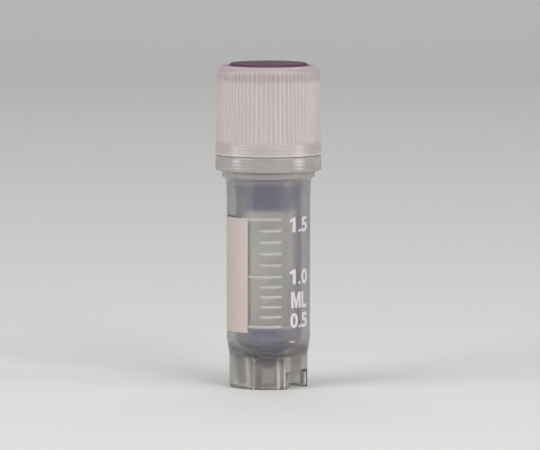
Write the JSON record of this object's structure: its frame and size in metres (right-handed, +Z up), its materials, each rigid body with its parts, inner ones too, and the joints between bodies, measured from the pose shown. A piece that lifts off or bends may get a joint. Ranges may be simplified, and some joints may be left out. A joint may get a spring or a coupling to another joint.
{
  "type": "cryovial",
  "caption": "Screw-cap tube for frozen samples, standing on a notched foot skirt, with a ribbed cap and a coloured insert.",
  "frame": {"origin": "centre of the foot skirt, on the plane that the vial stands on", "axes": "+Z up the vial's axis towards the cap; -Y is the side with the printed scale; +X is to the right when that side is faced"},
  "size_m": [0.0162, 0.0162, 0.0488],
  "materials": {
    "natural_polypropylene": "satin",
    "milky_polypropylene": "satin",
    "plum_plastic": "satin",
    "silicone": "matte",
    "white_ink": "matte"
  },
  "bodies": {
    "vial": {"vial": "natural_polypropylene", "writing_panel": "white_ink", "graduation_marks": "white_ink"},
    "seal": {"seal_washer": "silicone"},
    "cap": {"cap": "milky_polypropylene", "cap_insert": "plum_plastic"}
  },
  "joints": [
    {"name": "cap_lift", "type": "slide", "parent": "vial", "child": "seal", "axis": [0, 0, 1], "range_m": [0, 0.015]},
    {"name": "cap_turn", "type": "hinge", "parent": "seal", "child": "cap", "pos_m": [0, 0, 0.04], "axis": [0, 0, 1], "range_deg": [0, 1800]}
  ],
  "couplings": [
    {"joint": "cap_turn", "follows": "cap_lift", "rad_per_m": 2094.4}
  ]
}
